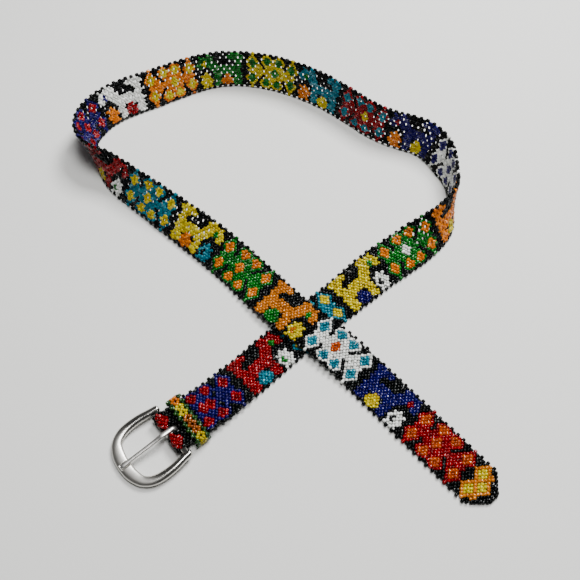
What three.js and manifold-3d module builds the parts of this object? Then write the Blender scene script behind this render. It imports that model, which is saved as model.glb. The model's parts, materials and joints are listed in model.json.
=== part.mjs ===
// A woven bead belt with a single-prong buckle, lying in an open loop with its two ends crossed.
// Millimetres, +Z up. The belt rests on Z = 0 and the origin is under the middle of its box.

import * as THREE from 'three';
import { mergeVertices } from 'three/addons/utils/BufferGeometryUtils.js';
import Module from 'manifold-3d';

const wasm = await Module();
wasm.setup();

// Strap
const strapLength = 1050;      // from the buckle's bar to the end of the tip
const strapWidth = 32;
const strapThickness = 2.8;    // one bead
const edgeRounding = 0.3;      // share of the thickness taken off each long edge
const tipAngle = 92;           // degrees between the two sides of the point
const tipBlunt = 8.4;          // width left at the very end
const sectionStep = 8;         // distance between two sections of the strap
const clearance = 0.3;         // kept between pieces that touch on the real belt
const crossingGap = 0.4;       // between the two strands where they cross
const crossingEase = 45;       // run over which the upper strand climbs and comes down

// Folded end
const foldReach = 48;          // from the bar to the end of the turned-back ply
const foldWeb = 4;             // length over which the loop round the bar closes to two plies
const foldOverlap = 1;         // shared by the loop and the strap it is joined to
const foldEase = 16;           // run over which the single ply comes down to the surface
const slotWidth = 7;           // gap in the fold that lets the prong through

// Keeper loop
const keeperWidth = 11.8;
const keeperThickness = 2.2;
const keeperSetback = 2.2;     // from the fold's loop to the keeper
const keeperRounding = 3.2;
const keeperEase = 25;         // run over which the strap comes down behind the keeper

// Buckle
const barDiameter = 4;
const frameReach = 39.8;       // from the bar to the outside of the front
const frameWidth = 47;
const armWidth = 6;
const frameThickness = 4.2;
const notchDepth = 1;
const notchShare = 0.76;       // share of the front's width that the prong lies over
const prongWidth = 3.4;
const prongThickness = 2.4;

// How the strap lies. along is a share of its length from the bar, heading is the way it runs,
// and roll turns it about that way: 0 lies flat, 90 stands on its lower edge, more leans outward.
const layRows = [
  { along: 0.000, heading: 38, roll: 0 },
  { along: 0.022, heading: 38, roll: 0 },
  { along: 0.040, heading: 43, roll: 0 },
  { along: 0.060, heading: 44.5, roll: 0 },
  { along: 0.088, heading: 43, roll: 0 },
  { along: 0.136, heading: 41, roll: 0 },
  { along: 0.173, heading: 38.5, roll: 14 },
  { along: 0.201, heading: 32.5, roll: 26 },
  { along: 0.222, heading: 35.5, roll: 50 },
  { along: 0.240, heading: 58.5, roll: 68 },
  { along: 0.258, heading: 82, roll: 91 },
  { along: 0.277, heading: 98.5, roll: 97 },
  { along: 0.301, heading: 118.5, roll: 113 },
  { along: 0.330, heading: 161, roll: 110 },
  { along: 0.371, heading: 138.5, roll: 105 },
  { along: 0.422, heading: 152.5, roll: 105 },
  { along: 0.472, heading: 176, roll: 103 },
  { along: 0.517, heading: 205, roll: 110 },
  { along: 0.562, heading: 206.5, roll: 117 },
  { along: 0.597, heading: 241, roll: 119 },
  { along: 0.620, heading: 284.5, roll: 109 },
  { along: 0.639, heading: 313.5, roll: 92 },
  { along: 0.658, heading: 319, roll: 65 },
  { along: 0.684, heading: 322, roll: 56 },
  { along: 0.732, heading: 322, roll: 40 },
  { along: 0.770, heading: 317, roll: 26 },
  { along: 0.805, heading: 313.5, roll: 11 },
  { along: 0.841, heading: 321.5, roll: 3 },
  { along: 0.889, heading: 313.5, roll: 0 },
  { along: 1.000, heading: 312, roll: 0 },
];

// Half of the buckle's outline, from the end of an arm to the middle of the front. forward is a
// share of the reach, side a share of half the frame's width, width a share of the arm's width.
const frameRows = [
  { forward: -0.075, side: 0.80, width: 0.42 },
  { forward: -0.045, side: 0.80, width: 0.82 },
  { forward: 0.07, side: 0.82, width: 0.90 },
  { forward: 0.33, side: 0.875, width: 1.00 },
  { forward: 0.625, side: 0.83, width: 1.10 },
  { forward: 0.79, side: 0.655, width: 1.15 },
  { forward: 0.875, side: 0.32, width: 1.37 },
  { forward: 0.892, side: 0, width: 1.43 },
];

// The prong's shank from its ring to its point. reach is a share of its length, rise a share of
// its drop from the ring to the front bar, width and height shares of its root's.
const prongRows = [
  { reach: 0.00, rise: 1.00, width: 1.00, height: 1.00 },
  { reach: 0.17, rise: 1.00, width: 1.00, height: 1.00 },
  { reach: 0.27, rise: 0.80, width: 0.90, height: 0.90 },
  { reach: 0.85, rise: 0.14, width: 0.86, height: 0.88 },
  { reach: 0.97, rise: 0.00, width: 0.95, height: 0.80 },
  { reach: 1.00, rise: 0.00, width: 0.70, height: 0.50 },
];

const loopRadius = barDiameter / 2 + clearance + strapThickness;
const barHeight = keeperThickness + clearance + strapThickness;
const keeperStart = loopRadius + keeperSetback;
const keeperEnd = keeperStart + keeperWidth;
const bandStart = loopRadius + foldWeb;
const tipLength = (strapWidth - tipBlunt) / 2 / Math.tan(THREE.MathUtils.degToRad(tipAngle / 2));
const frameTilt = Math.asin((barHeight - frameThickness / 2) / frameReach);
const frontWidth = armWidth * frameRows.at(-1).width;

function ease(value) {
  return THREE.MathUtils.smoothstep(value, 0, 1);
}

// A smooth value between the rows, level where a row is the highest or lowest of its neighbours
function between(rows, place, at, column) {
  const last = rows.length - 1;
  let i = 0;
  while (i < last - 1 && rows[i + 1][place] < at) i += 1;
  const slope = (k) => {
    if (k === 0 || k === last) return 0;
    const before = rows[k][column] - rows[k - 1][column];
    const after = rows[k + 1][column] - rows[k][column];
    return before * after > 0 ? (before + after) / (rows[k + 1][place] - rows[k - 1][place]) : 0;
  };
  const span = rows[i + 1][place] - rows[i][place];
  const t = (at - rows[i][place]) / span;
  const t2 = t * t;
  const t3 = t2 * t;
  return (2 * t3 - 3 * t2 + 1) * rows[i][column] + (t3 - 2 * t2 + t) * span * slope(i)
    + (3 * t2 - 2 * t3) * rows[i + 1][column] + (t3 - t2) * span * slope(i + 1);
}

function headingAt(distance) {
  return THREE.MathUtils.degToRad(between(layRows, 'along', distance / strapLength, 'heading'));
}

function rollAt(distance) {
  return THREE.MathUtils.degToRad(between(layRows, 'along', distance / strapLength, 'roll'));
}

// The strap's route on the surface, walked in even steps from the bar
const routeSteps = 420;
const routeStep = strapLength / routeSteps;
const route = [new THREE.Vector2(0, 0)];
for (let i = 0; i < routeSteps; i += 1) {
  const here = headingAt(i * routeStep);
  const next = headingAt((i + 1) * routeStep);
  const point = route[i].clone();
  point.x += (Math.cos(here) + Math.cos(next)) / 2 * routeStep;
  point.y += (Math.sin(here) + Math.sin(next)) / 2 * routeStep;
  route.push(point);
}

function routeAt(distance) {
  const i = Math.min(Math.floor(distance / routeStep), routeSteps - 1);
  return route[i].clone().lerp(route[i + 1], distance / routeStep - i);
}

// Where the route passes over itself: the two distances along it and the angle between strands
function findCrossing() {
  const cross = (a, b) => a.x * b.y - a.y * b.x;
  for (let i = 0; i < routeSteps; i += 1) {
    const run = route[i + 1].clone().sub(route[i]);
    for (let j = routeSteps - 1; j > i + 1; j -= 1) {
      const other = route[j + 1].clone().sub(route[j]);
      const gap = route[j].clone().sub(route[i]);
      const s = cross(gap, other) / cross(run, other);
      const t = cross(gap, run) / cross(run, other);
      if (s >= 0 && s < 1 && t >= 0 && t < 1) {
        const angle = Math.abs(headingAt(i * routeStep) - headingAt(j * routeStep)) % Math.PI;
        return { under: (i + s) * routeStep, over: (j + t) * routeStep, angle };
      }
    }
  }
  return null;
}

const crossing = findCrossing();

// Height added to the strap: over the other strand, behind the keeper, and past the fold's end
function crossingLift(distance) {
  if (crossing === null) return 0;
  const covered = strapWidth / 2 * (1 + Math.abs(Math.cos(crossing.angle))) / Math.sin(crossing.angle);
  const past = Math.abs(distance - crossing.over) - covered - strapThickness;
  return (strapThickness + crossingGap) * ease(1 - past / crossingEase);
}

function keeperLift(distance) {
  return (keeperThickness + clearance) * ease(1 - (distance - keeperEnd) / keeperEase);
}

function foldLift(distance) {
  return distance < foldReach ? 0 : strapThickness * ease(1 - (distance - foldReach) / foldEase);
}

function pliesAt(distance) {
  return distance < foldReach ? 2 : 1;
}

function widthAt(distance) {
  const left = Math.max(0, strapLength - distance);
  return left > tipLength ? strapWidth : tipBlunt + (strapWidth - tipBlunt) * left / tipLength;
}

// One cross-section of the strap as eight corners, its edges taken off
function strapSection(distance, width, plies) {
  const roll = rollAt(distance);
  const heading = headingAt(distance);
  const thickness = strapThickness * plies;
  const half = width / 2;
  const corner = strapThickness * edgeRounding;
  const place = routeAt(distance);
  const height = strapWidth / 2 * Math.sin(roll) + thickness / 2 * Math.abs(Math.cos(roll))
    + crossingLift(distance) + keeperLift(distance) + foldLift(distance);
  const centre = new THREE.Vector3(place.x, place.y, height);
  const inward = new THREE.Vector3(-Math.sin(heading), Math.cos(heading), 0);
  const up = new THREE.Vector3(0, 0, 1);
  const across = inward.clone().multiplyScalar(Math.cos(roll)).addScaledVector(up, Math.sin(roll));
  const outOf = inward.clone().multiplyScalar(-Math.sin(roll)).addScaledVector(up, Math.cos(roll));
  const outline = [
    [-half, -thickness / 2 + corner],
    [-half + corner, -thickness / 2],
    [half - corner, -thickness / 2],
    [half, -thickness / 2 + corner],
    [half, thickness / 2 - corner],
    [half - corner, thickness / 2],
    [-half + corner, thickness / 2],
    [-half, thickness / 2 - corner],
  ];
  return outline.map(([a, b]) => centre.clone().addScaledVector(across, a).addScaledVector(outOf, b));
}

// A closed skin over rings of corners, with a flat cap on each end
function loft(rings) {
  const corners = rings[0].length;
  const positions = rings.flat().flatMap((p) => [p.x, p.y, p.z]);
  const faces = [];
  for (let i = 0; i < rings.length - 1; i += 1) {
    for (let k = 0; k < corners; k += 1) {
      const a = i * corners + k;
      const b = i * corners + (k + 1) % corners;
      faces.push(a, b, b + corners, a, b + corners, a + corners);
    }
  }
  const end = (rings.length - 1) * corners;
  for (let k = 1; k < corners - 1; k += 1) {
    faces.push(0, k + 1, k);
    faces.push(end, end + k, end + k + 1);
  }
  const geometry = new THREE.BufferGeometry();
  geometry.setAttribute('position', new THREE.Float32BufferAttribute(positions, 3));
  geometry.setIndex(faces);
  return facingOut(geometry);
}

// Turns the faces round where the skin came out inside out
function facingOut(geometry) {
  const p = geometry.attributes.position;
  const index = geometry.index.array;
  const a = new THREE.Vector3();
  const b = new THREE.Vector3();
  const c = new THREE.Vector3();
  let volume = 0;
  for (let i = 0; i < index.length; i += 3) {
    a.fromBufferAttribute(p, index[i]);
    b.fromBufferAttribute(p, index[i + 1]);
    c.fromBufferAttribute(p, index[i + 2]);
    volume += a.dot(b.cross(c));
  }
  if (volume < 0) {
    for (let i = 0; i < index.length; i += 3) {
      [index[i + 1], index[i + 2]] = [index[i + 2], index[i + 1]];
    }
  }
  return geometry;
}

function toSolid(geometry) {
  const bare = geometry.clone();
  bare.deleteAttribute('normal');
  bare.deleteAttribute('uv');
  const merged = mergeVertices(bare, 1e-4);
  return new wasm.Manifold(new wasm.Mesh({
    numProp: 3,
    vertProperties: Float32Array.from(merged.attributes.position.array),
    triVerts: Uint32Array.from(merged.index.array),
  }));
}

function toGeometry(solid) {
  const mesh = solid.getMesh();
  const geometry = new THREE.BufferGeometry();
  geometry.setAttribute('position', new THREE.BufferAttribute(mesh.vertProperties, 3));
  geometry.setIndex(new THREE.BufferAttribute(mesh.triVerts, 1));
  return geometry;
}

// The buckle's own frame: its origin on the bar, X away from the strap, Y along the bar
const buckleTurn = headingAt(0) + Math.PI;
const buckleFrame = new THREE.Matrix4().makeRotationZ(buckleTurn).setPosition(0, 0, barHeight);

// A side view drawn with X forward and Y up, given a width along the bar
function acrossBar(shape, width, segments) {
  const geometry = new THREE.ExtrudeGeometry(shape, {
    depth: width,
    bevelEnabled: false,
    curveSegments: segments,
  });
  geometry.translate(0, 0, -width / 2);
  geometry.rotateX(Math.PI / 2);
  return geometry;
}

function roundHole(radius) {
  const hole = new THREE.Path();
  hole.absarc(0, 0, radius, 0, Math.PI * 2, true);
  return hole;
}

// The strap's end turned round the bar: a drop shape that closes to two plies
function foldGeometry() {
  const closing = Math.PI * 0.78;
  const shape = new THREE.Shape();
  shape.absarc(0, 0, loopRadius, -closing, closing, false);
  shape.lineTo(-keeperStart, strapThickness);
  shape.lineTo(-bandStart - foldOverlap, strapThickness);
  shape.lineTo(-bandStart - foldOverlap, -strapThickness);
  shape.lineTo(-keeperStart, -strapThickness);
  shape.closePath();
  shape.holes.push(roundHole(barDiameter / 2 + clearance));
  return acrossBar(shape, strapWidth, 14).applyMatrix4(buckleFrame);
}

function slotGeometry() {
  const length = loopRadius * 2 + keeperSetback / 2 + clearance;
  const cut = new THREE.BoxGeometry(length, slotWidth, loopRadius * 4);
  cut.translate(loopRadius + clearance - length / 2, 0, 0);
  return cut.applyMatrix4(buckleFrame);
}

function strapBand() {
  const stepEdge = 0.4;
  const tipStart = strapLength - tipLength;
  const exact = [bandStart, foldReach - stepEdge, foldReach, tipStart, strapLength];
  const stops = exact.slice();
  for (let d = bandStart; d < tipStart; d += sectionStep) {
    if (exact.every((e) => Math.abs(e - d) > sectionStep / 4)) stops.push(d);
  }
  stops.sort((a, b) => a - b);
  const rings = stops.map((d) => strapSection(d, widthAt(d), pliesAt(d)));
  const band = toSolid(loft(rings)).add(toSolid(foldGeometry()));
  return toGeometry(band.subtract(toSolid(slotGeometry())));
}

function roundedRectangle(target, width, height, radius) {
  const r = Math.min(radius, width / 2, height / 2);
  const x = width / 2 - r;
  const y = height / 2 - r;
  target.absarc(x, y, r, 0, Math.PI / 2, false);
  target.absarc(-x, y, r, Math.PI / 2, Math.PI, false);
  target.absarc(-x, -y, r, Math.PI, Math.PI * 1.5, false);
  target.absarc(x, -y, r, Math.PI * 1.5, Math.PI * 2, false);
  target.closePath();
  return target;
}

function keeperLoop() {
  const innerWidth = strapWidth + clearance * 2;
  const innerHeight = strapThickness * 2 + clearance * 2;
  const wall = keeperThickness * 2;
  const shape = roundedRectangle(new THREE.Shape(), innerWidth + wall, innerHeight + wall, keeperRounding);
  shape.holes.push(roundedRectangle(new THREE.Path(), innerWidth, innerHeight, clearance));
  const geometry = new THREE.ExtrudeGeometry(shape, {
    depth: keeperWidth,
    bevelEnabled: false,
    curveSegments: 5,
  });
  const turned = new THREE.Matrix4().makeBasis(
    new THREE.Vector3(0, 1, 0),
    new THREE.Vector3(0, 0, 1),
    new THREE.Vector3(1, 0, 0),
  );
  geometry.applyMatrix4(turned);
  geometry.translate(-keeperEnd, 0, 0);
  return toGeometry(toSolid(geometry));
}

// The cast frame: a rounded section carried round the horseshoe, joined to its bar
function frameGeometry() {
  const steps = 52;
  const half = frameRows.map((row) => new THREE.Vector3(
    row.forward * frameReach,
    row.side * frameWidth / 2,
    row.width * armWidth,
  ));
  const mirrored = half.slice(0, -1).reverse().map((p) => new THREE.Vector3(p.x, -p.y, p.z));
  const outline = new THREE.CatmullRomCurve3([...half, ...mirrored]);
  const section = [
    [1, 0], [0.8, 0.75], [0.35, 1], [-0.35, 1], [-0.8, 0.75],
    [-1, 0], [-0.8, -0.75], [-0.35, -1], [0.35, -1], [0.8, -0.75],
  ];
  const rings = [];
  for (let i = 0; i <= steps; i += 1) {
    const at = outline.getPoint(i / steps);
    const way = outline.getTangent(i / steps);
    const side = new THREE.Vector3(-way.y, way.x, 0).normalize();
    const widthHere = at.z;
    const ending = Math.min(1, widthHere / (armWidth * frameRows[1].width));
    rings.push(section.map(([a, b]) => new THREE.Vector3(at.x, at.y, b * frameThickness / 2 * ending)
      .addScaledVector(side, a * widthHere / 2)));
  }
  const bar = new THREE.CylinderGeometry(
    barDiameter / 2,
    barDiameter / 2,
    frameWidth * frameRows[1].side,
    16,
  );
  const notchLength = frontWidth * notchShare + clearance;
  const notch = new THREE.BoxGeometry(notchLength * 2, prongWidth + clearance * 2, notchDepth * 2);
  notch.translate(frameReach - frontWidth - notchLength + frontWidth * notchShare + clearance, 0, frameThickness / 2);
  return toGeometry(toSolid(loft(rings)).add(toSolid(bar)).subtract(toSolid(notch)));
}

function prongGeometry() {
  const ringInside = barDiameter / 2 + clearance;
  const ringOutside = ringInside + prongThickness;
  const ring = new THREE.Shape();
  ring.absarc(0, 0, ringOutside, 0, Math.PI * 2, false);
  ring.holes.push(roundHole(ringInside));
  const reach = frameReach - frontWidth + frontWidth * notchShare;
  const top = ringInside + prongThickness / 2;
  const seat = (frameThickness / 2 - notchDepth) * Math.cos(frameTilt) - reach * Math.sin(frameTilt);
  const rest = seat + clearance + prongThickness / 2;
  const rings = prongRows.map((row) => {
    const x = row.reach * reach;
    const z = rest + (top - rest) * row.rise;
    const halfWidth = prongWidth * row.width / 2;
    const halfHeight = prongThickness * row.height / 2;
    const section = [
      [1, 0.45], [0.55, 1], [-0.55, 1], [-1, 0.45], [-1, -0.45], [-0.55, -1], [0.55, -1], [1, -0.45],
    ];
    return section.map(([a, b]) => new THREE.Vector3(x, a * halfWidth, z + b * halfHeight));
  });
  return toGeometry(toSolid(acrossBar(ring, prongWidth, 24)).add(toSolid(loft(rings))));
}

function piece(name, geometry, material) {
  const mesh = new THREE.Mesh(geometry, material);
  mesh.name = name;
  return mesh;
}

const beadMaterial = new THREE.MeshStandardMaterial({ color: 0x1d1c24, roughness: 0.25, metalness: 0 });
const keeperMaterial = new THREE.MeshStandardMaterial({ color: 0xa8761c, roughness: 0.3, metalness: 0 });
const castMaterial = new THREE.MeshStandardMaterial({ color: 0xb9b6b1, roughness: 0.28, metalness: 1 });
const prongMaterial = new THREE.MeshStandardMaterial({ color: 0xc4c2be, roughness: 0.22, metalness: 1 });

const frame = piece('buckle_frame', frameGeometry(), castMaterial);
frame.rotation.y = frameTilt;

const buckle = new THREE.Group();
buckle.position.set(0, 0, barHeight);
buckle.rotation.z = buckleTurn;
buckle.add(frame);
buckle.add(piece('prong', prongGeometry(), prongMaterial));
buckle.add(piece('keeper_loop', keeperLoop(), keeperMaterial));

const belt = new THREE.Group();
belt.add(piece('strap_band', strapBand(), beadMaterial));
belt.add(buckle);

// The origin goes under the middle of the whole belt's box
belt.updateMatrixWorld(true);
const box = new THREE.Box3().setFromObject(belt, true);
const middle = box.getCenter(new THREE.Vector3());
belt.position.set(-middle.x, -middle.y, -box.min.z);

const whole = new THREE.Group();
whole.add(belt);
whole.updateMatrixWorld(true);

export default whole;
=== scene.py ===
import json
import math

import bpy
import numpy as np
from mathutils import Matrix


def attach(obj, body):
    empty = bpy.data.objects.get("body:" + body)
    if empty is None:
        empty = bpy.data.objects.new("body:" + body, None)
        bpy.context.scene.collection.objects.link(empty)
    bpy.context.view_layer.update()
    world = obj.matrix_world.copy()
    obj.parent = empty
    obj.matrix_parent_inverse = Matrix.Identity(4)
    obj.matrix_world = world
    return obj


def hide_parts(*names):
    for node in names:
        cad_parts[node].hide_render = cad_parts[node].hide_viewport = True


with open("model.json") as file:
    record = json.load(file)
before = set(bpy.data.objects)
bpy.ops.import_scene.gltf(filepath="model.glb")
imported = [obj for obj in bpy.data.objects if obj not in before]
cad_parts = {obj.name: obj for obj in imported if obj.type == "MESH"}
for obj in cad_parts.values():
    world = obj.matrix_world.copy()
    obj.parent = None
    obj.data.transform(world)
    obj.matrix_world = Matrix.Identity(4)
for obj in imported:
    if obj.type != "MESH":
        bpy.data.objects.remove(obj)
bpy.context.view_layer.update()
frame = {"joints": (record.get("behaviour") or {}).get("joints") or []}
mm = 0.001
rng = np.random.default_rng(7)

hinge = [j for j in frame["joints"] if j["name"] == "prong_hinge"][0]
barPoint = np.array(hinge["pos_m"]) / mm  # middle of the buckle's bar, everything is placed from here
print("frame loaded, bar at", barPoint)


# Where the photographer stood
view = {
    "right": 76.24,     # camera from the bar, mm
    "near": 183.55,
    "height": 500,
    "pitch": 59.72,     # degrees below the horizon
    "lens": 50.37,
}

camera = bpy.data.objects.new("camera", bpy.data.cameras.new("camera"))
bpy.context.scene.collection.objects.link(camera)
camera.data.sensor_width = 36
camera.data.lens = view["lens"]
camera.data.clip_start = 0.01
camera.location = ((barPoint[0] + view["right"]) * mm, (barPoint[1] - view["near"]) * mm, view["height"] * mm)
camera.rotation_euler = (math.radians(90 - view["pitch"]), 0, 0)
bpy.context.scene.camera = camera


# The way the strap lies: share of its length, heading and roll, the same table as the solid's
lay = {
    "length": 1050,
    "width": 32,
    "thickness": 2.8,
    "rows": [
        (0.000, 38, 0), (0.022, 38, 0), (0.040, 43, 0), (0.060, 44.5, 0), (0.088, 43, 0),
        (0.136, 41, 0), (0.173, 38.5, 14), (0.201, 32.5, 26), (0.222, 35.5, 50), (0.240, 58.5, 68),
        (0.258, 82, 91), (0.277, 98.5, 97), (0.301, 118.5, 113), (0.330, 161, 110), (0.371, 138.5, 105),
        (0.422, 152.5, 105), (0.472, 176, 103), (0.517, 205, 110), (0.562, 206.5, 117), (0.597, 241, 119),
        (0.620, 284.5, 109), (0.639, 313.5, 92), (0.658, 319, 65), (0.684, 322, 56), (0.732, 322, 40),
        (0.770, 317, 26), (0.805, 313.5, 11), (0.841, 321.5, 3), (0.889, 313.5, 0), (1.000, 312, 0),
    ],
    "crossingAt": 882.2,    # where the tip strand passes over the other one
    "crossingReach": 21.6,
    "crossingLift": 3.2,
    "crossingEase": 45,
    "keeperEnd": 19.1,
    "keeperLift": 2.5,
    "keeperEase": 25,
    "foldReach": 48,
    "foldEase": 16,
    "barHeight": 5.3,
    "loopRadius": 3.7,      # from the bar's axis to the middle of the strap
    "loopClose": 9.1,       # where the loop round the bar closes to two plies
    "tipLength": 11.4,
    "tipHalf": 4.2,         # half the width left at the very end
}


def ease(value):
    t = np.clip(value, 0, 1)
    return t * t * (3 - 2 * t)


def betweenRows(rows, at, column):
    table = np.array(rows, float)
    keys, values = table[:, 0], table[:, column]
    step = np.diff(values)
    slope = np.zeros(len(values))
    for i in range(1, len(values) - 1):
        if step[i - 1] * step[i] > 0:
            slope[i] = (values[i + 1] - values[i - 1]) / (keys[i + 1] - keys[i - 1])
    i = np.clip(np.searchsorted(keys, at, side="right") - 1, 0, len(keys) - 2)
    span = keys[i + 1] - keys[i]
    t = (at - keys[i]) / span
    t2, t3 = t * t, t * t * t
    return ((2 * t3 - 3 * t2 + 1) * values[i] + (t3 - 2 * t2 + t) * span * slope[i]
            + (3 * t2 - 2 * t3) * values[i + 1] + (t3 - t2) * span * slope[i + 1])


routeStep = 0.5
routeAt = np.arange(0, lay["length"] + 12, routeStep)
routeShare = np.minimum(routeAt / lay["length"], 1)
routeHeading = np.radians(betweenRows(lay["rows"], routeShare, 1))
routeRoll = np.radians(betweenRows(lay["rows"], routeShare, 2))
routeX = np.concatenate([[0], np.cumsum((np.cos(routeHeading[:-1]) + np.cos(routeHeading[1:])) / 2 * routeStep)])
routeY = np.concatenate([[0], np.cumsum((np.sin(routeHeading[:-1]) + np.sin(routeHeading[1:])) / 2 * routeStep)])


# The loop round the bar seen from the side, from loopClose above to loopClose below: u away from
# the buckle, w above the bar
def loopLine():
    r, half, close = lay["loopRadius"], lay["thickness"] / 2, lay["loopClose"]
    neck, neckLift = 5.6, 0.2
    points = [(close, half), (neck, half + neckLift)]
    for angle in np.radians(np.linspace(140, -140, 41)):
        points.append((-r * math.cos(angle), r * math.sin(angle)))
    points += [(neck, -half - neckLift), (close, -half)]
    line = np.array(points)
    lengths = np.hypot(*np.diff(line, axis=0).T)
    return np.concatenate([[0], np.cumsum(lengths)]), line


loopAt, loopPoints = loopLine()
loopLength = loopAt[-1]
foldLength = loopLength + lay["foldReach"] - lay["loopClose"]
turn = math.radians(lay["rows"][0][1])
up = np.array([0, 0, 1.0])
back = np.array([math.cos(turn), math.sin(turn), 0])        # from the bar along the strap
left = np.array([-math.sin(turn), math.cos(turn), 0])
barAxis = np.array([barPoint[0], barPoint[1], lay["barHeight"]])


# Points of the strap by distance along its length and place across it. Before loopClose the strap
# goes round the bar, and then back under itself.
def onStrap(along, across):
    along, across = np.broadcast_arrays(np.asarray(along, float), across)
    run = lay["loopClose"] - along
    under = run > loopLength
    far = np.where(under, lay["loopClose"] + run - loopLength, np.maximum(along, lay["loopClose"]))
    heading = np.interp(far, routeAt, routeHeading)
    roll = np.interp(far, routeAt, routeRoll)
    pastCrossing = np.abs(far - lay["crossingAt"]) - lay["crossingReach"]
    lift = lay["crossingLift"] * ease(1 - pastCrossing / lay["crossingEase"])
    lift += lay["keeperLift"] * ease(1 - (far - lay["keeperEnd"]) / lay["keeperEase"])
    lift += lay["thickness"] * ease(1 - (far - lay["foldReach"]) / lay["foldEase"]) * np.where(under, 0, 1)
    z = lay["width"] / 2 * np.sin(roll) + lay["thickness"] / 2 * np.abs(np.cos(roll)) + lift
    inward = np.stack([-np.sin(heading), np.cos(heading), np.zeros_like(heading)], -1)
    ahead = np.stack([np.cos(heading), np.sin(heading), np.zeros_like(heading)], -1)
    side = inward * np.cos(roll)[..., None] + up * np.sin(roll)[..., None]
    out = -inward * np.sin(roll)[..., None] + up * np.cos(roll)[..., None]
    place = np.stack([np.interp(far, routeAt, routeX) + barPoint[0],
                      np.interp(far, routeAt, routeY) + barPoint[1], z], -1)

    inLoop = ((run > 0) & ~under)[..., None]
    u = np.interp(run, loopAt, loopPoints[:, 0])
    w = np.interp(run, loopAt, loopPoints[:, 1])
    reach = 0.4
    du = np.interp(run - reach, loopAt, loopPoints[:, 0]) - np.interp(run + reach, loopAt, loopPoints[:, 0])
    dw = np.interp(run - reach, loopAt, loopPoints[:, 1]) - np.interp(run + reach, loopAt, loopPoints[:, 1])
    tilt = np.arctan2(dw, du)
    loopPlace = barAxis + back * u[..., None] + up * w[..., None]
    loopAhead = back * np.cos(tilt)[..., None] + up * np.sin(tilt)[..., None]
    loopOut = -back * np.sin(tilt)[..., None] + up * np.cos(tilt)[..., None]
    place = np.where(inLoop, loopPlace, place) + side * across[..., None]
    return place, np.where(inLoop, loopAhead, ahead), side, np.where(inLoop, loopOut, out)


# One bead: rounded outside, with a hole through it
bead = {
    "across": 2.6,
    "long": 2.4,
    "sharedLong": 3.0,      # the beads that two diamonds of the net share
    "fillLong": 2.1,
    "fillSize": 0.85,
    "fillDepth": 0.35,
    "picotSize": 1.0,
    "standGrowth": 0.11,    # fuller beads where the strap stands on edge and its net is open
    "chalkSize": 0.92,      # the opaque white beads are a little smaller, so that dark gaps part them
    "hole": 0.9,
    "sides": 8,
    "sizeSpread": 0.05,
    "placeSpread": 0.1,
    "tiltSpread": 0.16,
}


def beadShape(across, long, hole, sides):
    r, h, q = across / 2, long / 2, hole / 2
    profile = [(-h * 0.97, r * 0.62), (-h * 0.62, r * 0.96), (h * 0.62, r * 0.96), (h * 0.97, r * 0.62),
               (h * 0.7, q), (-h * 0.7, q)]
    verts, faces = [], []
    for k in range(sides):
        a = 2 * math.pi * k / sides
        for t, rr in profile:
            verts.append((t, rr * math.cos(a), rr * math.sin(a)))
    n = len(profile)
    for k in range(sides):
        for i in range(n):
            a, b = k * n + i, k * n + (i + 1) % n
            c, d = ((k + 1) % sides) * n + (i + 1) % n, ((k + 1) % sides) * n + i
            faces.append((a, b, c, d))
    return np.array(verts), np.array(faces)


def makeMesh(name, verts, faces, smooth=True):
    mesh = bpy.data.meshes.new(name)
    faces = np.asarray(faces)
    mesh.vertices.add(len(verts))
    mesh.vertices.foreach_set("co", (np.asarray(verts, np.float32) * mm).ravel())
    mesh.loops.add(faces.size)
    mesh.loops.foreach_set("vertex_index", faces.astype(np.int32).ravel())
    mesh.polygons.add(len(faces))
    mesh.polygons.foreach_set("loop_start", np.arange(0, faces.size, faces.shape[1], dtype=np.int32))
    mesh.polygons.foreach_set("use_smooth", np.full(len(faces), smooth))
    mesh.update(calc_edges=True)
    mesh.validate()
    return mesh


def makePiece(name, mesh, material, node, body="root"):
    piece = bpy.data.objects.new(name, mesh)
    bpy.context.scene.collection.objects.link(piece)
    piece.data.materials.append(material)
    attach(piece, body)
    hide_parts(node)
    return piece


# Joins many beads in one mesh: each has a middle, the way of its hole, the way it faces, a size
# and a length along its hole
def beadMesh(name, middles, holes, faceWays, sizes, lengths):
    shape, faces = beadShape(bead["across"], 1.0, bead["hole"], bead["sides"])
    count = len(middles)
    spread = rng.normal(0, 1, (count, 3))
    holes = holes + faceWays * (spread[:, :1] * bead["tiltSpread"])
    holes = holes / np.linalg.norm(holes, axis=1)[:, None]
    third = np.cross(faceWays, holes)
    third /= np.linalg.norm(third, axis=1)[:, None]
    faceWays = np.cross(holes, third)
    turn = rng.uniform(0, 2 * math.pi / bead["sides"], count)
    e1 = third * np.cos(turn)[:, None] + faceWays * np.sin(turn)[:, None]
    e2 = -third * np.sin(turn)[:, None] + faceWays * np.cos(turn)[:, None]
    scale = sizes * (1 + rng.normal(0, bead["sizeSpread"], count))
    middles = middles + rng.normal(0, bead["placeSpread"], (count, 3))
    local = shape[None, :, :] * scale[:, None, None]
    local[..., 0] *= lengths[:, None]
    verts = (middles[:, None, :] + local[..., :1] * holes[:, None, :]
             + local[..., 1:2] * e1[:, None, :] + local[..., 2:] * e2[:, None, :])
    n = len(shape)
    allFaces = (faces[None] + (np.arange(count) * n)[:, None, None]).reshape(-1, 4)
    mesh = makeMesh(name, verts.reshape(-1, 3), allFaces)
    tone = np.repeat(rng.uniform(0, 1, count), n)
    layer = mesh.color_attributes.new("tone", "FLOAT_COLOR", "POINT")
    layer.data.foreach_set("color", np.stack([tone, tone, tone, np.ones_like(tone)], -1).astype(np.float32).ravel())
    return mesh


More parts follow.
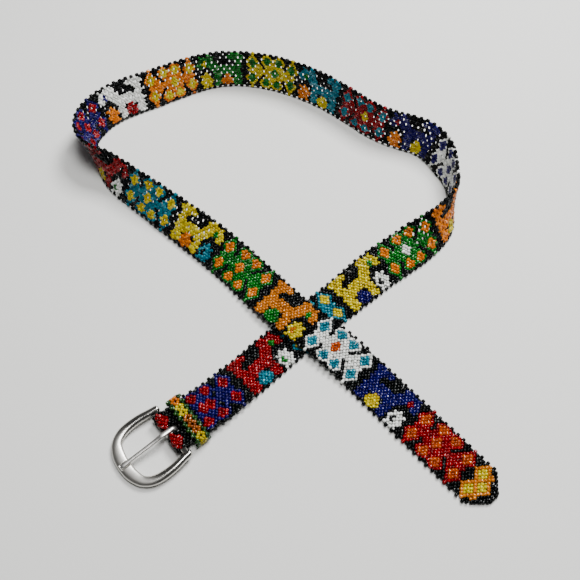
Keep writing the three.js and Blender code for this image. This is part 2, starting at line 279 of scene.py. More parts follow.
# Glass of the beads
glass = {
    "black": {"deep": (0.0005, 0.0005, 0.0007), "light": (0.002, 0.003, 0.003), "rough": 0.12, "gloss": 0.1},
    "white": {"deep": (0.42, 0.43, 0.40), "light": (0.80, 0.81, 0.78), "rough": 0.16, "gloss": 0.4},
    "teal": {"deep": (0.0, 0.035, 0.06), "light": (0.005, 0.17, 0.23), "rough": 0.08, "gloss": 0.24},
    "blue": {"deep": (0.001, 0.0, 0.02), "light": (0.006, 0.002, 0.095), "rough": 0.08, "gloss": 0.2},
    "red": {"deep": (0.05, 0.0, 0.001), "light": (0.26, 0.0, 0.003), "rough": 0.08, "gloss": 0.22},
    "rust": {"deep": (0.16, 0.014, 0.0), "light": (0.36, 0.05, 0.0), "rough": 0.08, "gloss": 0.26},
    "orange": {"deep": (0.26, 0.045, 0.0), "light": (0.60, 0.17, 0.0), "rough": 0.08, "gloss": 0.26},
    "yellow": {"deep": (0.24, 0.15, 0.0), "light": (0.50, 0.42, 0.0), "rough": 0.08, "gloss": 0.26},
    "green": {"deep": (0.0, 0.02, 0.001), "light": (0.0, 0.15, 0.008), "rough": 0.08, "gloss": 0.24},
    "moss": {"deep": (0.0, 0.008, 0.002), "light": (0.02, 0.08, 0.01), "rough": 0.08, "gloss": 0.4},
    "brown": {"deep": (0.07, 0.012, 0.0), "light": (0.34, 0.08, 0.002), "rough": 0.08, "gloss": 0.5},
    "amber": {"deep": (0.20, 0.05, 0.0), "light": (0.46, 0.14, 0.006), "rough": 0.08, "gloss": 0.26},
}
sparkle = {"least": 0.5, "most": 4.0, "few": 6}     # a few beads shine far more than the rest
cloudy = {
    "scale": 900,
    "detail": 3,
    "beadShare": 0.75,      # how far the shade goes by the bead, and by the clouds in it
    "cloudShare": 0.5,
    "cloudBase": -0.12,
    "smoothest": 0.6,
    "roughest": 1.6,
    "bump": 0.12,
    "bumpDepth": 0.00008,
}


def glassMaterial(name, look):
    material = bpy.data.materials.new(name)
    material.use_nodes = True
    nodes, links = material.node_tree.nodes, material.node_tree.links
    shader = nodes["Principled BSDF"]
    shader.inputs["IOR"].default_value = 1.52
    tone = nodes.new("ShaderNodeAttribute")
    tone.attribute_name = "tone"
    few = nodes.new("ShaderNodeMath")
    few.operation = "POWER"
    few.inputs[1].default_value = sparkle["few"]
    shine = nodes.new("ShaderNodeMapRange")
    shine.inputs["To Min"].default_value = look["gloss"] * sparkle["least"]
    shine.inputs["To Max"].default_value = look["gloss"] * sparkle["most"]
    links.new(tone.outputs["Fac"], few.inputs[0])
    links.new(few.outputs[0], shine.inputs["Value"])
    links.new(shine.outputs["Result"], shader.inputs["Specular IOR Level"])
    cloud = nodes.new("ShaderNodeTexNoise")
    cloud.inputs["Scale"].default_value = cloudy["scale"]
    cloud.inputs["Detail"].default_value = cloudy["detail"]
    where = nodes.new("ShaderNodeTexCoord")
    links.new(where.outputs["Object"], cloud.inputs["Vector"])
    blend = nodes.new("ShaderNodeMix")
    blend.data_type = "RGBA"
    blend.inputs["A"].default_value = (*look["deep"], 1)
    blend.inputs["B"].default_value = (*look["light"], 1)
    amount = nodes.new("ShaderNodeMath")
    amount.operation = "MULTIPLY_ADD"
    amount.inputs[1].default_value = cloudy["beadShare"]
    half = nodes.new("ShaderNodeMath")
    half.operation = "MULTIPLY_ADD"
    half.inputs[1].default_value = cloudy["cloudShare"]
    half.inputs[2].default_value = cloudy["cloudBase"]
    links.new(cloud.outputs["Fac"], half.inputs[0])
    links.new(tone.outputs["Fac"], amount.inputs[0])
    links.new(half.outputs[0], amount.inputs[2])
    links.new(amount.outputs[0], blend.inputs["Factor"])
    links.new(blend.outputs["Result"], shader.inputs["Base Color"])
    rough = nodes.new("ShaderNodeMapRange")
    rough.inputs["To Min"].default_value = look["rough"] * cloudy["smoothest"]
    rough.inputs["To Max"].default_value = look["rough"] * cloudy["roughest"]
    links.new(cloud.outputs["Fac"], rough.inputs["Value"])
    links.new(rough.outputs["Result"], shader.inputs["Roughness"])
    bump = nodes.new("ShaderNodeBump")
    bump.inputs["Strength"].default_value = cloudy["bump"]
    bump.inputs["Distance"].default_value = cloudy["bumpDepth"]
    links.new(cloud.outputs["Fac"], bump.inputs["Height"])
    links.new(bump.outputs["Normal"], shader.inputs["Normal"])
    return material


glassOf = {name: glassMaterial("glass_" + name, look) for name, look in glass.items()}
colours = list(glass)
black = colours.index("black")


# The net: rows across, half steps along, and what each panel shows
net = {
    "firstColumn": -34,
    "lastColumn": 422,
    "edgeRow": 4,
    "rowHeight": 3.4,
    "columnWidth": 2.5,         # on average, for the shapes of the animals
    "picotHeight": 1.3,         # the single beads that stand out along both edges
    "fillRow": 4,               # where the net lies flat its holes close up to this row
    "fillRoll": 35,
    "fillShare": 0.4,           # of the holes that close by chance where the strap stands on edge
    "fillEdgeShare": 0.75,
    "foldRow": 4,               # the fold round the bar is plain along its edges
    "columnAt": -1.93,          # mm along the strap at column -4
    "stretch": [(-4, 2.75), (70, 2.475), (100, 2.275), (130, 2.425),      # column, mm to the next
                (240, 2.325), (270, 2.525), (300, 2.5), (422, 2.575)],
    "panel": 36,
    "mostBeads": 1500,          # in one piece
    "slotHalf": 1.0,            # rows left out where the prong comes through the fold
    "slotStart": -10.5,
    "slotEnd": 6.8,
}

flowers = [  # from the tip: petals, dots, middle
    ("red", "rust", "rust"), ("white", "teal", "rust"), ("green", "orange", "orange"),
    ("teal", "yellow", "yellow"), ("blue", "red", "red"), ("orange", "yellow", "yellow"),
    ("yellow", "green", "green"), ("red", "teal", "yellow"), ("white", "blue", "blue"),
    ("green", "orange", "white"), ("teal", "yellow", "yellow"), ("blue", "red", "red"),
]
animals = [  # from the tip: coat, eye, patch below, figure in front, its middle
    ("blue", "red", "yellow", "white", "black"), ("amber", "green", "green", "yellow", "amber"),
    ("yellow", "green", "orange", "teal", "black"), ("red", "black", "yellow", "white", "green"),
    ("white", "blue", "red", "orange", "orange"), ("green", "yellow", "orange", "yellow", "yellow"),
    ("teal", "green", "yellow", "orange", "orange"), ("blue", "red", "yellow", "orange", "orange"),
    ("orange", "green", "yellow", "yellow", "yellow"), ("yellow", "green", "blue", "white", "black"),
    ("red", "green", "teal", "white", "green"),
]

# What a flower shows, in columns from its panel's start and rows from the strap's middle
flower = {
    "from": -2.6,
    "to": 16.6,
    "blocks": [(-1.1, 9.1), (10.9, 15.1)],              # plain blocks, petalRow high
    "petalRow": 2.1,
    "diamonds": [(6, 3.01), (12.5, 2.5), (9.5, 1.01)],  # on the middle row: column, steps
    "dots": [(0, 2), (0, -2), (5, 3), (5, -3), (9, 3), (9, -3), (14, 2), (14, -2)],
    "dotRow": 3.9,
    "gaps": [(3, 2), (2.5, 1.5), (3, -2), (2.5, -1.5)],
    "notchAt": 9.6,
    "notchSlant": 0.75,
    "notchRow": 0.9,        # the notches stop short of the middle row
    "middle": 6,
    "lastMiddle": 8,        # the flower next to the buckle has a longer middle, no gaps and no notch
}
heart = {
    "dots": [(19, 2), (19, -2), (21, 0)],
    "bridge": ((20, 1), (20, -1), 3),
    "rim": 4.8,             # mm of black along the point
    "from": 17,
    "row": 4.4,
}
fold = {"blackTo": 3.6, "dots": [(-4, 2.5), (-4, -2.5)], "dotSteps": 1.6}
animal = {
    "start": 14,
    "from": 2,
    "to": 20,
    "row": 4.2,             # the coat keeps inside this row, apart from the ears
    "headFrom": 13.5,
    "tailGap": (7.2, 1.8),
    "eye": (16, 2),
    "eyeFrom": 15.9,
    "patch": (8.8, -3.0),
    "patchReach": (2.3, 1.6),
    "figure": (16.5, -2.5),
    "figureHalf": 1.6,
    "figureSteps": 2.01,
    "figureRow": -4.7,
    "middleTo": 16.2,
}
oneBead, oneRing = 0.6, 1.01    # steps that take in a single bead, or the beads round it too

# Parts of an animal: start and end in columns and rows, and radius in mm
animalParts = [
    ((4.9, 3.8), (6.9, 3.6), 4.2),      # curled tail
    ((4.9, 3.3), (5.4, -0.5), 3.0),     # rump
    ((6.0, -0.1), (12.2, 0.0), 5.0),    # body
    ((5.2, -0.5), (5.2, -4.5), 3.3),    # hind leg
    ((12.4, -0.5), (12.4, -4.5), 3.3),  # fore leg
    ((12.2, 0.3), (15.5, 2.4), 3.6),    # neck
    ((14.6, 3.0), (17.3, 2.7), 3.6),    # head
    ((14.4, 4.4), (14.4, 4.5), 1.9),    # ears
    ((18.0, 4.0), (18.0, 4.1), 2.0),
    ((17.5, 2.2), (18.5, 1.5), 2.4),    # muzzle
]


def steps(x, y, cx, cy):
    return np.abs(x - cx) + np.abs(y - cy)


def petalRing(x, y, cx, cy):
    corner = (np.abs(x - cx) <= oneBead) & (np.abs(y - cy) <= 3.01)
    return (steps(x, y, cx, cy) <= 2.6) | corner


def inPart(x, y, part):
    start, end, thick = part
    px, py = x * net["columnWidth"], y * net["rowHeight"]
    ax, ay = start[0] * net["columnWidth"], start[1] * net["rowHeight"]
    bx, by = end[0] * net["columnWidth"], end[1] * net["rowHeight"]
    dx, dy = bx - ax, by - ay
    t = np.clip(((px - ax) * dx + (py - ay) * dy) / max(dx * dx + dy * dy, 1e-9), 0, 1)
    return np.hypot(px - ax - t * dx, py - ay - t * dy) <= thick


def paintAnimal(paint, x, y, coat, eye, patch, figure, middle):
    near = (x > animal["from"]) & (x < animal["to"])
    shape = np.any([inPart(x, y, part) for part in animalParts], axis=0)
    shape &= (y > -animal["row"]) & ~((y > animal["row"]) & (x < animal["headFrom"]))
    paint(near & shape, coat)
    paint(near & (steps(x, y, *animal["tailGap"]) <= oneRing), "black")
    (eyeX, eyeY), (patchX, patchY) = animal["eye"], animal["patch"]
    eyeBeads = (steps(x, y, eyeX, eyeY) <= oneRing) & (np.abs(y - eyeY) <= oneBead) & (x > animal["eyeFrom"])
    paint(near & eyeBeads, eye)
    reachX, reachY = animal["patchReach"]
    inPatch = ((x - patchX) / reachX) ** 2 + ((y - patchY) / reachY) ** 2 <= 1
    paint(near & inPatch & (y > -animal["row"]), patch)
    figureX, figureY = animal["figure"]
    square = (np.abs(x - figureX) <= animal["figureHalf"]) & (np.abs(y - figureY) <= animal["figureHalf"])
    disc = (steps(x, y, figureX, figureY) <= animal["figureSteps"]) | square
    paint(near & disc & (y > animal["figureRow"]), figure)
    paint(near & (steps(x, y, figureX, figureY) <= oneRing) & (x < animal["middleTo"]), middle)


def paintFlower(paint, x, y, petal, dot, middle, last):
    near = (x > flower["from"]) & (x < flower["to"])
    row = np.abs(y)
    shape = np.any([(x > start) & (x < end) & (row <= flower["petalRow"]) for start, end in flower["blocks"]], axis=0)
    for column, size in flower["diamonds"]:
        shape |= steps(x, y, column, 0) <= size
    for spot in flower["dots"]:
        shape |= petalRing(x, y, *spot)
    if not last:
        for gap in flower["gaps"]:
            shape &= steps(x, y, *gap) > oneBead
        notch = np.abs(x - flower["notchAt"] - row * flower["notchSlant"]) <= oneBead
        shape &= ~(notch & (row <= flower["petalRow"]) & (row >= flower["notchRow"]))
    paint(near & shape, petal)
    for spot in flower["dots"]:
        paint(near & (steps(x, y, *spot) <= oneRing) & (row < flower["dotRow"]), dot)
    for column in [flower["middle"]] + [flower["lastMiddle"]] * last:
        paint(near & (steps(x, y, column, 0) <= oneRing), middle)


def paintHeart(paint, x, y):
    shape = inPart(x, y, heart["bridge"])
    for spot in heart["dots"]:
        shape |= petalRing(x, y, *spot)
    paint(shape, "amber")
    for spot in heart["dots"]:
        paint(steps(x, y, *spot) <= oneRing, "yellow")


def colourNet(x, y):
    colour = np.full(x.shape, black)

    def paint(where, name):
        colour[where] = colours.index(name)

    lastPanel = len(animals)
    for k, look in enumerate(animals):
        paintAnimal(paint, x - (net["panel"] * (lastPanel - 1 - k) + animal["start"]), y, *look)
    for k, look in enumerate(flowers):
        paintFlower(paint, x - net["panel"] * (lastPanel - k), y, *look, k == len(flowers) - 1)
    heartX = x - net["panel"] * lastPanel
    paintHeart(paint, heartX, y)
    paint(rowToAcross(np.abs(y)) > tipEdge(columnToAlong(x)) - heart["rim"], "black")
    paint((heartX > heart["from"]) & (np.abs(y) > heart["row"]), "black")
    paint(x < fold["blackTo"], "black")
    for spot in fold["dots"]:
        paint(steps(x, y, *spot) <= fold["dotSteps"], "red")
    return colour


columns = np.arange(net["firstColumn"], net["lastColumn"] + 1)
rows = np.arange(-net["edgeRow"], net["edgeRow"] + 1)
gx, gy = np.meshgrid(columns, rows, indexing="ij")
odd = (gx + gy) % 2 != 0
picotX = np.repeat(columns[columns % 2 == net["edgeRow"] % 2], 2)
picotY = np.tile([-net["edgeRow"] - 1, net["edgeRow"] + 1], len(picotX) // 2)
sharedX = np.concatenate([gx[odd], picotX]).astype(float)
sharedY = np.concatenate([gy[odd], picotY]).astype(float)
sx, sy = np.meshgrid(columns[:-1] + 0.5, rows[:-1] + 0.5, indexing="ij")
sx, sy = sx.ravel(), sy.ravel()
sideWay = np.where((np.floor(sx) + np.floor(sy)) % 2 != 0, 1.0, -1.0)

stretchAt = np.array(net["stretch"])
fine = np.arange(net["firstColumn"] - 2, net["lastColumn"] + 4, 0.25)
pitch = np.interp(fine, stretchAt[:, 0], stretchAt[:, 1])
alongFine = np.concatenate([[0], np.cumsum((pitch[:-1] + pitch[1:]) / 2 * 0.25)])
alongFine += net["columnAt"] - np.interp(-4, fine, alongFine)


def columnToAlong(x):
    return np.interp(x, fine, alongFine)


def rowToAcross(y):
    size = np.abs(y)
    inner = np.minimum(size, net["edgeRow"]) * net["rowHeight"]
    return np.sign(y) * (inner + np.maximum(size - net["edgeRow"], 0) * net["picotHeight"])


# Half the width of the strap at a place near its tip
def tipEdge(along):
    slope = (lay["width"] / 2 - lay["tipHalf"]) / lay["tipLength"]
    return np.where(along < lay["length"] - lay["tipLength"], 99, lay["tipHalf"] + (lay["length"] - along) * slope)


def keepBead(x, y):
    along = columnToAlong(x)
    slot = (along < net["slotEnd"]) & (along > net["slotStart"]) & (np.abs(y) < net["slotHalf"])
    tip = (rowToAcross(np.abs(y)) > tipEdge(along) - 3.0) | (along > lay["length"] - 3.0)
    narrow = (along < lay["loopClose"]) & (np.abs(y) > net["foldRow"])
    return ~slot & ~tip & ~narrow & (along > lay["loopClose"] - foldLength + 1.2)


beadX = np.concatenate([sharedX, sx])
beadY = np.concatenate([sharedY, sy])
beadWay = np.concatenate([np.zeros(len(sharedX)), sideWay])
kept = keepBead(beadX, beadY)
beadX, beadY, beadWay = beadX[kept], beadY[kept], beadWay[kept]

# One bead sinks in each hole where the net lies flat and its rows are pushed together
holeX, holeY = gx[~odd].astype(float), gy[~odd].astype(float)
holeRoll = np.degrees(np.interp(columnToAlong(holeX), routeAt, routeRoll))
chance = np.where(np.abs(holeY) < 3.5, net["fillShare"], net["fillEdgeShare"])
filled = (holeRoll < net["fillRoll"]) | (rng.uniform(0, 1, len(holeX)) < chance)
filled &= keepBead(holeX, holeY) & (np.abs(holeY) <= net["fillRow"])
fillX, fillY = holeX[filled], holeY[filled]


# A row of black beads follows the two sides of the point and its blunt end
def tipBorder():
    inset, spacing = 1.4, 2.45
    corner = np.array([lay["length"] - inset, lay["tipHalf"] - inset * 0.4])
    shoulder = np.array([lay["length"] - lay["tipLength"] - inset * 0.4, lay["width"] / 2 - inset])
    count = round(float(np.linalg.norm(shoulder - corner)) / spacing)
    points, ways = [], []
    for way in (1, -1):
        for k in range(count):
            at = corner + (shoulder - corner) * (k + 0.45) / count
            points.append((at[0], at[1] * way))
            ways.append(((corner - shoulder)[0], (corner - shoulder)[1] * way))
    for across in (-corner[1] * 0.7, 0, corner[1] * 0.7):
        points.append((corner[0], across))
        ways.append((0, 1))
    ways = np.array(ways, float)
    return np.array(points), ways / np.linalg.norm(ways, axis=1)[:, None]


place, ahead, side, out = onStrap(columnToAlong(beadX), rowToAcross(beadY))
rise = beadWay * (rowToAcross(beadY + 0.5) - rowToAcross(beadY - 0.5))
hop = np.stack([np.interp(beadX, fine, pitch), rise], -1)
hop /= np.linalg.norm(hop, axis=1)[:, None]
hole = np.where(beadWay[:, None] != 0, ahead * hop[:, :1] + side * hop[:, 1:], ahead)
fillPlace, fillAhead, _, fillOut = onStrap(columnToAlong(fillX), rowToAcross(fillY))
tipPoints, tipWays = tipBorder()
tipPlace, tipAhead, tipSide, tipOut = onStrap(tipPoints[:, 0], tipPoints[:, 1])
tipHole = tipAhead * tipWays[:, :1] + tipSide * tipWays[:, 1:]

place = np.concatenate([place, fillPlace - fillOut * bead["fillDepth"], tipPlace])
hole = np.concatenate([hole, fillAhead, tipHole])
out = np.concatenate([out, fillOut, tipOut])
beadColour = np.concatenate([colourNet(beadX, beadY), colourNet(fillX, fillY), np.full(len(tipPlace), black)])
alongAll = np.concatenate([columnToAlong(beadX), columnToAlong(fillX), tipPoints[:, 0]])
sharedLong = np.where(np.abs(beadY) > net["edgeRow"], bead["long"], bead["sharedLong"])
lengths = np.concatenate([np.where(beadWay == 0, sharedLong, bead["long"]),
                          np.full(len(fillX), bead["fillLong"]), np.full(len(tipPlace), bead["long"])])
sizes = np.ones(len(place))
sizes[len(beadX):len(beadX) + len(fillX)] = bead["fillSize"]
sizes[:len(beadX)][np.abs(beadY) > net["edgeRow"]] = bead["picotSize"]
stand = 1 + bead["standGrowth"] * ease((np.degrees(np.interp(alongAll, routeAt, routeRoll)) - 20) / 20)
sizes *= stand
lengths *= stand
chalky = beadColour == colours.index("white")
sizes[chalky] *= bead["chalkSize"]
lengths[chalky] *= bead["chalkSize"]
place[:, 2] = np.maximum(place[:, 2], sizes * bead["across"] / 2)
print("net laid out,", len(place), "beads")

for index, name in enumerate(colours):
    chosen = np.flatnonzero(beadColour == index)
    if not len(chosen):
        continue
    chosen = chosen[np.argsort(alongAll[chosen], kind="stable")]
    parts = np.array_split(chosen, max(1, math.ceil(len(chosen) / net["mostBeads"])))
    for part, members in enumerate(parts):
        label = "strap_beads_" + name + ("" if len(parts) == 1 else "_" + str(part + 1))
        mesh = beadMesh(label, place[members], hole[members], out[members], sizes[members], lengths[members])
        makePiece(label, mesh, glassOf[name], "strap_band")
        print(label, len(members), "beads")


# Thread through the beads, a fine three-sided strand along each side of the net
thread = {"radius": 0.2, "colour": (0.012, 0.011, 0.011), "lit": (0.05, 0.045, 0.04), "twist": 1800}


def threadMaterial():
    material = bpy.data.materials.new("waxed_thread")
    material.use_nodes = True
    nodes, links = material.node_tree.nodes, material.node_tree.links
    shader = nodes["Principled BSDF"]
    shader.inputs["Roughness"].default_value = 0.6
    where = nodes.new("ShaderNodeTexCoord")
    twist = nodes.new("ShaderNodeTexWave")
    twist.inputs["Scale"].default_value = thread["twist"]
    links.new(where.outputs["Object"], twist.inputs["Vector"])
    shade = nodes.new("ShaderNodeMix")
    shade.data_type = "RGBA"
    shade.inputs["A"].default_value = (*thread["colour"], 1)
    shade.inputs["B"].default_value = (*thread["lit"], 1)
    links.new(twist.outputs["Fac"], shade.inputs["Factor"])
    links.new(shade.outputs["Result"], shader.inputs["Base Color"])
    return material


def strandMesh(name, starts, ends, ups):
    way = ends - starts
    way /= np.linalg.norm(way, axis=1)[:, None]
    e1 = np.cross(way, ups)
    e1 /= np.linalg.norm(e1, axis=1)[:, None]
    e2 = np.cross(way, e1)
    ring = []
    for k in range(3):
        a = 2 * math.pi * k / 3
        ring.append((e1 * math.cos(a) + e2 * math.sin(a)) * thread["radius"])
    verts = np.stack([starts + r for r in ring] + [ends + r for r in ring], 1).reshape(-1, 3)
    tri = np.array([(0, 1, 4), (0, 4, 3), (1, 2, 5), (1, 5, 4), (2, 0, 3), (2, 3, 5), (0, 2, 1), (3, 4, 5)])
    faces = (tri[None] + (np.arange(len(starts)) * 6)[:, None, None]).reshape(-1, 3)
    return makeMesh(name, verts, faces, smooth=False)


sideBeads = kept[len(sharedX):]
tx, ty, tw = sx[sideBeads], sy[sideBeads], sideWay[sideBeads]
startPlace, _, _, startOut = onStrap(columnToAlong(tx - 0.5), rowToAcross(ty - 0.5 * tw))
endPlace, _, _, _ = onStrap(columnToAlong(tx + 0.5), rowToAcross(ty + 0.5 * tw))
waxed = threadMaterial()
strands = strandMesh("strap_thread", startPlace, endPlace, startOut)
makePiece("strap_thread", strands, waxed, "strap_band")
print("thread made")


# Keeper: a narrow woven ring round the doubled strap
keeper = {
    "start": 7.3,
    "long": 11.8,
    "width": 34.8,      # middle line of its beads
    "height": 8.4,
    "rounding": 2.4,
    "columns": 34,
    "rows": 2,
    "rowHeight": 2.3,
    "beadSize": 0.88,
    "beadLong": 2.3,
    "halfStep": 1.25,
    "orangeFrom": 11.5,     # across the strap
    "brown": (-12.5, 3),
    "mossRow": 1.4,
}


# The ring's middle line: across and up, and the way it runs
def keeperLine(share):
    w, h, r = keeper["width"] / 2, keeper["height"] / 2, keeper["rounding"]
    points = []
    for cx, cy, a0 in ((w - r, h - r, 0), (-w + r, h - r, 90), (-w + r, -h + r, 180), (w - r, -h + r, 270)):
        for a in np.radians(np.linspace(a0, a0 + 90, 7)):
            points.append((cx + r * math.cos(a), cy + r * math.sin(a)))
    points.append(points[0])
    line = np.array(points)
    seg = np.hypot(*np.diff(line, axis=0).T)
    at = np.concatenate([[0], np.cumsum(seg)])
    run = (share % 1) * at[-1]
    ahead = ((share + 0.002) % 1) * at[-1]
    behind = ((share - 0.002) % 1) * at[-1]
    here = np.stack([np.interp(run, at, line[:, 0]), np.interp(run, at, line[:, 1])], -1)
    way = np.stack([np.interp(ahead, at, line[:, 0]), np.interp(ahead, at, line[:, 1])], -1)
    way -= np.stack([np.interp(behind, at, line[:, 0]), np.interp(behind, at, line[:, 1])], -1)
    return here, way / np.linalg.norm(way, axis=1)[:, None]


def onKeeper(column, row):
    here, way = keeperLine(column / keeper["columns"])
    middle = keeper["start"] + keeper["long"] / 2
    place = (barAxis + back * (middle + row * keeper["rowHeight"])[:, None]
             + left * here[:, :1] + up * here[:, 1:])
    run = left * way[:, :1] + up * way[:, 1:]
    return place, run, np.cross(run, back), here


kx, ky = np.meshgrid(np.arange(keeper["columns"]), np.arange(-keeper["rows"], keeper["rows"] + 1), indexing="ij")
keeperShared = (kx + ky) % 2 != 0
ksx, ksy = np.meshgrid(np.arange(keeper["columns"]) + 0.5,
                       np.arange(-keeper["rows"], keeper["rows"]) + 0.5, indexing="ij")
ksx, ksy = ksx.ravel(), ksy.ravel()
keeperX = np.concatenate([kx[keeperShared].astype(float), ksx])
keeperY = np.concatenate([ky[keeperShared].astype(float), ksy])
keeperWay = np.concatenate([np.zeros(np.count_nonzero(keeperShared)),
                            np.where((np.floor(ksx) + np.floor(ksy)) % 2 != 0, 1.0, -1.0)])
place, run, out, here = onKeeper(keeperX, keeperY)
hop = np.stack([np.full(len(keeperX), keeper["halfStep"]), keeperWay * keeper["rowHeight"] / 2], -1)
hop /= np.linalg.norm(hop, axis=1)[:, None]
hole = np.where(keeperWay[:, None] != 0, run * hop[:, :1] + back * hop[:, 1:], run)
keeperColour = np.full(len(keeperX), colours.index("yellow"))
keeperColour[here[:, 0] > keeper["orangeFrom"]] = colours.index("orange")
brownFrom, brownTo = keeper["brown"]
keeperColour[(here[:, 0] < brownTo) & (here[:, 0] > brownFrom)] = colours.index("brown")
keeperColour[np.abs(keeperY) > keeper["mossRow"]] = colours.index("moss")
for index, name in enumerate(colours):
    members = np.flatnonzero(keeperColour == index)
    if len(members):
        sizes = np.full(len(members), keeper["beadSize"])
        label = "keeper_beads_" + name
        mesh = beadMesh(label, place[members], hole[members], out[members], sizes, sizes * keeper["beadLong"])
        makePiece(label, mesh, glassOf[name], "keeper_loop")
print("keeper made,", len(keeperX), "beads")


# Buckle: cast frame with its bar, and the prong
buckle = {
    "reach": 39.8,
    "width": 47,
    "arm": 6,
    "thickness": 4.2,
    "bar": 4,
    "notchDepth": 1.0,
    "notchShare": 0.76,
    "prongWidth": 3.4,
    "prongThickness": 2.4,
    "rows": [(-0.075, 0.80, 0.42), (-0.045, 0.80, 0.82), (0.07, 0.82, 0.90), (0.33, 0.875, 1.00),
             (0.625, 0.83, 1.10), (0.79, 0.655, 1.15), (0.875, 0.32, 1.37), (0.892, 0, 1.43)],
    "prongRows": [(0.00, 1.00, 1.00, 1.00), (0.17, 1.00, 1.00, 1.00), (0.27, 0.80, 0.90, 0.90),
                  (0.85, 0.14, 0.86, 0.88), (0.97, 0.00, 0.95, 0.80), (1.00, 0.00, 0.70, 0.50)],
}


# A smooth line through points, even in each span
def throughPoints(points, at):
    p = np.array(points, float)
    n = len(p) - 1
    at = np.clip(at * n, 0, n - 1e-9)
    i = at.astype(int)
    t = (at - i)[:, None]
    padded = np.concatenate([[2 * p[0] - p[1]], p, [2 * p[-1] - p[-2]]])
    p0, p1, p2, p3 = padded[i], padded[i + 1], padded[i + 2], padded[i + 3]
    d0 = np.linalg.norm(p1 - p0, axis=1)[:, None] ** 0.5
    d1 = np.linalg.norm(p2 - p1, axis=1)[:, None] ** 0.5
    d2 = np.linalg.norm(p3 - p2, axis=1)[:, None] ** 0.5
    m1 = ((p1 - p0) / d0 - (p2 - p0) / (d0 + d1) + (p2 - p1) / d1) * d1
    m2 = ((p2 - p1) / d1 - (p3 - p1) / (d1 + d2) + (p3 - p2) / d2) * d1
    t2, t3 = t * t, t * t * t
    return (2 * t3 - 3 * t2 + 1) * p1 + (t3 - 2 * t2 + t) * m1 + (3 * t2 - 2 * t3) * p2 + (t3 - t2) * m2


def loftFaces(rings, around, closed=False):
    faces = []
    for i in range(rings - (0 if closed else 1)):
        for k in range(around):
            a, b = i * around + k, i * around + (k + 1) % around
            c, d = ((i + 1) % rings) * around + (k + 1) % around, ((i + 1) % rings) * around + k
            faces.append((a, b, c, d))
    return faces


# From the buckle's own frame, X away from the strap and Y along the bar
def placeBuckle(points, tilt=0.0):
    c, s = math.cos(tilt), math.sin(tilt)
    p = points @ np.array([[c, 0, -s], [0, 1, 0], [s, 0, c]])
    return barAxis - back * p[:, :1] - left * p[:, 1:2] + up * p[:, 2:]


frameTilt = math.asin((lay["barHeight"] - buckle["thickness"] / 2) / buckle["reach"])
frontWidth = buckle["arm"] * buckle["rows"][-1][2]


def joinMesh(name, parts):
    verts = np.concatenate([v for v, f in parts])
    mesh = bpy.data.meshes.new(name)
    faces, base = [], 0
    for v, f in parts:
        faces += [tuple(k + base for k in face) for face in f]
        base += len(v)
    mesh.from_pydata([tuple(v) for v in verts * mm], [], faces)
    mesh.validate()
    for polygon in mesh.polygons:
        polygon.use_smooth = True
    return mesh


def frameParts():
    half = [(f * buckle["reach"], s * buckle["width"] / 2, w * buckle["arm"]) for f, s, w in buckle["rows"]]
    points = half + [(x, -y, w) for x, y, w in half[:-1][::-1]]
    at = np.unique(np.concatenate([np.linspace(0, 1, 121), np.linspace(0.47, 0.53, 33)]))
    line = throughPoints(points, at)
    way = throughPoints(points, np.minimum(at + 0.002, 1)) - throughPoints(points, np.maximum(at - 0.002, 0))
    sideWays = np.stack([-way[:, 1], way[:, 0], np.zeros(len(at))], -1)
    sideWays /= np.linalg.norm(sideWays, axis=1)[:, None]
    ends = np.minimum(1, line[:, 2] / (buckle["arm"] * buckle["rows"][1][2]))
    around = 40
    angle = 2 * math.pi * np.arange(around) / around
    # rounder on the arms, with a flatter top at the front
    front = ease((line[:, 0] / buckle["reach"] - 0.35) / 0.5)[:, None]
    power = 2 / (2.0 + 0.35 * front)
    a = np.sign(np.cos(angle)) * np.abs(np.cos(angle)) ** power
    b = np.sign(np.sin(angle)) * np.abs(np.sin(angle)) ** power
    middle = np.stack([line[:, 0], line[:, 1], np.zeros(len(at))], -1)
    p = middle[:, None, :] + sideWays[:, None, :] * (a * line[:, 2:] / 2)[..., None]
    p[..., 2] = b * (buckle["thickness"] / 2 * ends)[:, None]
    # the seat that the prong's end lies in
    seatEnd = buckle["reach"] - frontWidth * (1 - buckle["notchShare"]) + 0.2
    seatHalf = buckle["prongWidth"] / 2 + 0.3
    inSeat = ease((seatHalf + 0.25 - np.abs(p[..., 1])) / 0.45) * ease((seatEnd + 0.3 - p[..., 0]) / 0.6)
    floorZ = buckle["thickness"] / 2 - buckle["notchDepth"]
    high = p[..., 2] > floorZ
    p[..., 2] = np.where(high, p[..., 2] * (1 - inSeat) + floorZ * inSeat, p[..., 2])
    satin = np.broadcast_to(ease((line[:, 0] / buckle["reach"] - 0.4) / 0.45)[:, None], p.shape[:2]).ravel()
    rings = len(at)
    faces = loftFaces(rings, around)
    faces.append(tuple(range(around - 1, -1, -1)))
    faces.append(tuple((rings - 1) * around + k for k in range(around)))
    bar = []
    barHalf = buckle["width"] * buckle["rows"][1][1] / 2
    for y in (-barHalf, -6, 6, barHalf):
        for k in range(24):
            t = 2 * math.pi * k / 24
            bar.append((math.cos(t) * buckle["bar"] / 2, y, math.sin(t) * buckle["bar"] / 2))
    barFaces = [f[::-1] for f in loftFaces(4, 24)]
    barFaces += [tuple(range(24)), tuple(3 * 24 + k for k in range(23, -1, -1))]
    return [(placeBuckle(p.reshape(-1, 3), frameTilt), faces), (placeBuckle(np.array(bar)), barFaces)], satin


